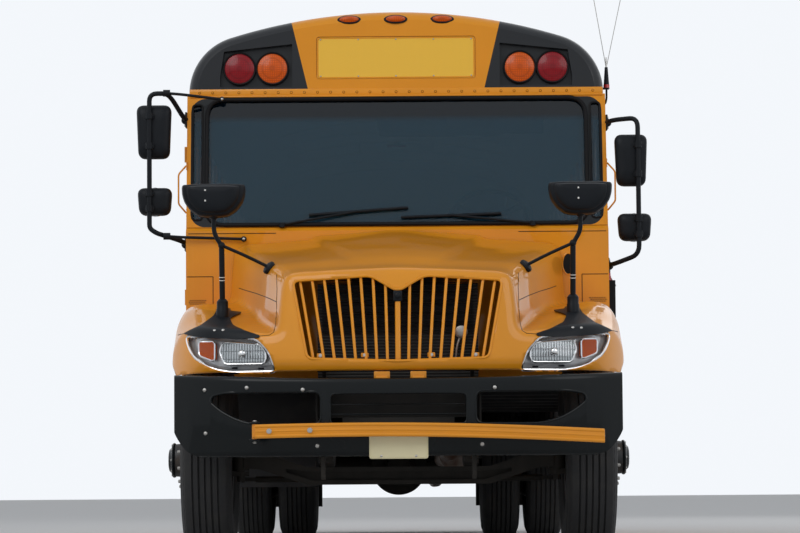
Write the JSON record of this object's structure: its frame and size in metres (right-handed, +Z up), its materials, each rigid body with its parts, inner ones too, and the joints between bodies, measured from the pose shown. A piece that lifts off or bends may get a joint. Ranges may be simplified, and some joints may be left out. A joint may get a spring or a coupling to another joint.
{
  "type": "school bus",
  "caption": "Full-size conventional school bus with a tilting hood, leaf doors, bench seats, stop arm and crossing arm.",
  "frame": {"origin": "on the ground at the middle of the overall width and length", "axes": "+X to the driver's side, +Y from nose to tail, +Z up"},
  "size_m": [2.958, 10.6, 3.4166],
  "materials": {
    "bus_yellow": "gloss school bus yellow enamel",
    "black_trim": "satin black",
    "door_frame": "gloss yellow frame",
    "arm_yellow": "yellow powder coat",
    "sign_red": "reflective red sheet",
    "window_glass": "tinted safety glass",
    "lamp_lens": "clear and coloured lenses",
    "frame_steel": "black chassis paint",
    "engine_iron": "painted iron",
    "exhaust_steel": "heat-stained steel",
    "radiator_alloy": "dark finned core",
    "tyre": "worn black rubber",
    "rim_steel": "black steel disc",
    "floor_mat": "ribbed black rubber",
    "dash_plastic": "dark grained plastic",
    "seat_vinyl": "padded dark vinyl",
    "seat_steel": "black tube",
    "hatch_white": "white moulded lid"
  },
  "bodies": {
    "chassis": {"chassis_frame": "frame_steel", "cross_members": "frame_steel", "body_floor": "floor_mat", "entrance_steps": "floor_mat", "side_walls": "bus_yellow", "window_bands": "bus_yellow", "window_glass": "window_glass", "roof": "bus_yellow", "front_cap": "bus_yellow", "rear_wall": "bus_yellow", "cowl": "bus_yellow", "windshield_frame": "bus_yellow", "windshield": "window_glass", "rub_rails": "black_trim", "front_bumper": "black_trim", "rear_bumper": "black_trim", "warning_lamps": "lamp_lens", "front_axle": "frame_steel", "rear_axle": "frame_steel", "leaf_springs": "frame_steel", "engine": "engine_iron", "radiator": "radiator_alloy", "drive_shaft": "frame_steel", "fuel_tank": "frame_steel", "exhaust": "exhaust_steel", "mud_flaps": "black_trim", "stop_arm_housing": "black_trim", "dashboard": "dash_plastic", "driver_seat": "seat_vinyl", "passenger_seats": "seat_vinyl", "seat_frames": "seat_steel", "rearview_mirrors": "black_trim", "wipers": "black_trim", "antenna": "black_trim"},
    "hood": {"hood": "bus_yellow", "grille": "bus_yellow", "headlights": "lamp_lens", "crossview_mirrors": "black_trim"},
    "left_knuckle": {"left_knuckle": "frame_steel"},
    "right_knuckle": {"right_knuckle": "frame_steel"},
    "tie_rod": {"tie_rod": "frame_steel"},
    "front_left_wheel": {"front_left_tyre": "tyre", "front_left_rim": "rim_steel"},
    "front_right_wheel": {"front_right_tyre": "tyre", "front_right_rim": "rim_steel"},
    "rear_left_wheels": {"rear_left_tyres": "tyre", "rear_left_rims": "rim_steel"},
    "rear_right_wheels": {"rear_right_tyres": "tyre", "rear_right_rims": "rim_steel"},
    "steering_wheel": {"steering_wheel": "black_trim"},
    "entrance_front_leaf": {"entrance_front_leaf": "door_frame", "entrance_front_glass": "window_glass"},
    "entrance_rear_leaf": {"entrance_rear_leaf": "door_frame", "entrance_rear_glass": "window_glass"},
    "rear_door": {"rear_door": "bus_yellow", "rear_door_glass": "window_glass"},
    "front_roof_hatch": {"front_roof_hatch": "hatch_white"},
    "rear_roof_hatch": {"rear_roof_hatch": "hatch_white"},
    "stop_arm": {"stop_arm": "sign_red"},
    "crossing_arm": {"crossing_arm": "arm_yellow"}
  },
  "joints": [
    {"name": "left_steer", "type": "hinge", "parent": "chassis", "child": "left_knuckle", "pos_m": [0.87, -4.18, 0.521], "axis": [0, 0, 1], "range_deg": [-45, 45]},
    {"name": "right_steer", "type": "hinge", "parent": "chassis", "child": "right_knuckle", "pos_m": [-0.87, -4.18, 0.521], "axis": [0, 0, 1], "range_deg": [-45, 45]},
    {"name": "tie_rod_swing", "type": "hinge", "parent": "left_knuckle", "child": "tie_rod", "pos_m": [0.87, -3.96, 0.414], "axis": [0, 0, 1], "range_deg": [-45, 45]},
    {"name": "steering_wheel_turn", "type": "hinge", "parent": "chassis", "child": "steering_wheel", "pos_m": [0.545, -2.925, 1.95], "axis": [0, 0.6691, 0.7431], "range_deg": [-810, 810]},
    {"name": "front_left_spin", "type": "hinge", "parent": "left_knuckle", "child": "front_left_wheel", "pos_m": [1.036, -4.18, 0.521], "axis": [1, 0, 0], "continuous": true},
    {"name": "front_right_spin", "type": "hinge", "parent": "right_knuckle", "child": "front_right_wheel", "pos_m": [-1.036, -4.18, 0.521], "axis": [1, 0, 0], "continuous": true},
    {"name": "rear_left_spin", "type": "hinge", "parent": "chassis", "child": "rear_left_wheels", "pos_m": [0.909, 1.814, 0.521], "axis": [1, 0, 0], "continuous": true},
    {"name": "rear_right_spin", "type": "hinge", "parent": "chassis", "child": "rear_right_wheels", "pos_m": [-0.909, 1.814, 0.521], "axis": [1, 0, 0], "continuous": true},
    {"name": "hood_tilt", "type": "hinge", "parent": "chassis", "child": "hood", "pos_m": [0, -5.045, 0.975], "axis": [1, 0, 0], "range_deg": [0, 70]},
    {"name": "entrance_front_swing", "type": "hinge", "parent": "chassis", "child": "entrance_front_leaf", "pos_m": [-1.231, -3.247, 1.4], "axis": [0, 0, 1], "range_deg": [0, 88]},
    {"name": "entrance_rear_swing", "type": "hinge", "parent": "chassis", "child": "entrance_rear_leaf", "pos_m": [-1.231, -2.503, 1.4], "axis": [0, 0, -1], "range_deg": [0, 88]},
    {"name": "rear_door_swing", "type": "hinge", "parent": "chassis", "child": "rear_door", "pos_m": [-0.452, 5.202, 1.7], "axis": [0, 0, 1], "range_deg": [0, 105]},
    {"name": "front_hatch_lift", "type": "hinge", "parent": "chassis", "child": "front_roof_hatch", "pos_m": [0, -1.77, 3.183], "axis": [1, 0, 0], "range_deg": [0, 75]},
    {"name": "rear_hatch_lift", "type": "hinge", "parent": "chassis", "child": "rear_roof_hatch", "pos_m": [0, 3.06, 3.183], "axis": [1, 0, 0], "range_deg": [0, 75]},
    {"name": "stop_arm_swing", "type": "hinge", "parent": "chassis", "child": "stop_arm", "pos_m": [1.253, -3.195, 1.43], "axis": [0, 0, -1], "range_deg": [0, 90]},
    {"name": "crossing_arm_swing", "type": "hinge", "parent": "chassis", "child": "crossing_arm", "pos_m": [-0.742, -5.256, 0.654], "axis": [0, 0, -1], "range_deg": [0, 90]}
  ],
  "couplings": [
    {"joint": "right_steer", "follows": "left_steer", "ratio": 1},
    {"joint": "tie_rod_swing", "follows": "left_steer", "ratio": -1},
    {"joint": "steering_wheel_turn", "follows": "left_steer", "ratio": 18},
    {"joint": "entrance_rear_swing", "follows": "entrance_front_swing", "ratio": 1}
  ]
}
